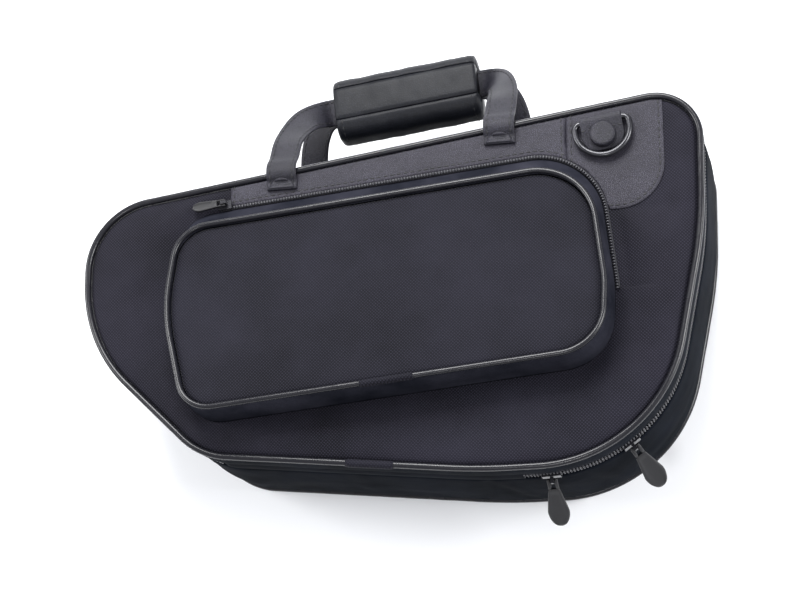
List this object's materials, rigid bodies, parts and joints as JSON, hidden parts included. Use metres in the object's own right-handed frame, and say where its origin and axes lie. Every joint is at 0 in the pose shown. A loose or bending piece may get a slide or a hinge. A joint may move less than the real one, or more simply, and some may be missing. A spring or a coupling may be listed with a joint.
{
  "type": "instrument gig bag",
  "caption": "Padded soft gig bag for a pocket trumpet: lid on a cloth fold, zipped front pocket, wrapped twin handle and rings for a shoulder strap",
  "frame": {"origin": "middle of the box's bottom, the bag lying on its back", "axes": "+X towards the wide end along the bottom side, +Y towards the handle, +Z out of the front face"},
  "size_m": [0.4202, 0.3268, 0.1422],
  "materials": {
    "twist": "ballistic weave",
    "pocket_twist": "ballistic weave",
    "wall_cloth": "smooth coated nylon",
    "lining": "brushed plush",
    "foam": "closed cell",
    "leatherette": "fine pebble grain",
    "grip_leather": "smooth satin",
    "piping": "glossy vinyl",
    "zip_cloth": "woven tape",
    "coil": "satin nylon",
    "black_metal": "satin black",
    "pull": "moulded, matt"
  },
  "bodies": {
    "case": {"back_panel": "wall_cloth", "back_gusset": "wall_cloth", "back_foam": "foam", "back_lining": "lining", "back_piping": "piping", "zip_tape_back": "zip_cloth", "zip_coil_back": "coil", "fold_panel": "wall_cloth", "back_strap": "leatherette", "grip_wrap": "grip_leather", "grip_flap": "grip_leather", "side_tab": "leatherette", "side_cap": "black_metal"},
    "lid": {"front_panel": "twist", "front_gusset": "wall_cloth", "front_foam": "foam", "front_lining": "lining", "front_piping": "piping", "piping_join": "piping", "zip_tape_front": "zip_cloth", "zip_coil_front": "coil", "yoke": "leatherette", "ring_patch": "leatherette", "front_strap": "leatherette", "strap_badges": "leatherette", "front_tab": "leatherette", "front_cap": "black_metal", "pocket_zip_tape": "zip_cloth", "pocket_zip_coil": "coil"},
    "pocket": {"pocket_panel": "pocket_twist", "pocket_gusset": "pocket_twist", "pocket_piping": "piping", "pocket_piping_join": "piping"},
    "slider_a": {"slider_a": "black_metal"},
    "slider_b": {"slider_b": "black_metal"},
    "pull_a": {"pull_a": "pull"},
    "pull_b": {"pull_b": "pull"},
    "pocket_slider": {"pocket_slider": "black_metal"},
    "pocket_pull": {"pocket_pull": "pull"},
    "front_ring": {"front_ring": "black_metal"},
    "side_ring": {"side_ring": "black_metal"}
  },
  "joints": [
    {"name": "lid_open", "type": "hinge", "parent": "case", "child": "lid", "pos_m": [0.01283, -0.13384, 0.0836], "axis": [0.9955, -0.0946, 0], "range_deg": [0, 140], "deforming": ["fold_panel", "grip_flap"]},
    {"name": "pocket_open", "type": "hinge", "parent": "lid", "child": "pocket", "pos_m": [0.01304, -0.08674, 0.11175], "axis": [0.9955, 0.0945, 0], "range_deg": [0, 25]},
    {"name": "slider_a_run", "type": "hinge", "parent": "case", "child": "slider_a", "pos_m": [0.09888, -0.04104, 0.081], "axis": [0, 0, 1], "range_deg": [0, 14]},
    {"name": "slider_b_run", "type": "hinge", "parent": "case", "child": "slider_b", "pos_m": [0.09888, -0.04104, 0.081], "axis": [0, 0, 1], "range_deg": [0, 36]},
    {"name": "pull_a_swing", "type": "hinge", "parent": "slider_a", "child": "pull_a", "pos_m": [0.104, -0.13881, 0.081], "axis": [-0.9986, -0.0523, 0], "range_deg": [-35, 8]},
    {"name": "pull_b_swing", "type": "hinge", "parent": "slider_b", "child": "pull_b", "pos_m": [0.15642, -0.12025, 0.081], "axis": [-0.809, -0.5878, 0], "range_deg": [-35, 50]},
    {"name": "pocket_slider_run", "type": "slide", "parent": "lid", "child": "pocket_slider", "axis": [0.9961, 0.088, 0], "range_m": [0, 0.19]},
    {"name": "pocket_pull_swing", "type": "hinge", "parent": "pocket_slider", "child": "pocket_pull", "pos_m": [-0.1048, 0.04962, 0.1176], "axis": [-0.088, 0.9961, 0], "range_deg": [0, 150]},
    {"name": "front_ring_swing", "type": "hinge", "parent": "lid", "child": "front_ring", "pos_m": [0.14604, 0.0852, 0.116], "axis": [-0.9916, -0.1294, 0], "range_deg": [0, 150]},
    {"name": "side_ring_swing", "type": "hinge", "parent": "case", "child": "side_ring", "pos_m": [-0.20556, 0.0072, 0.0616], "axis": [0, 1, 0], "range_deg": [0, 150]}
  ]
}
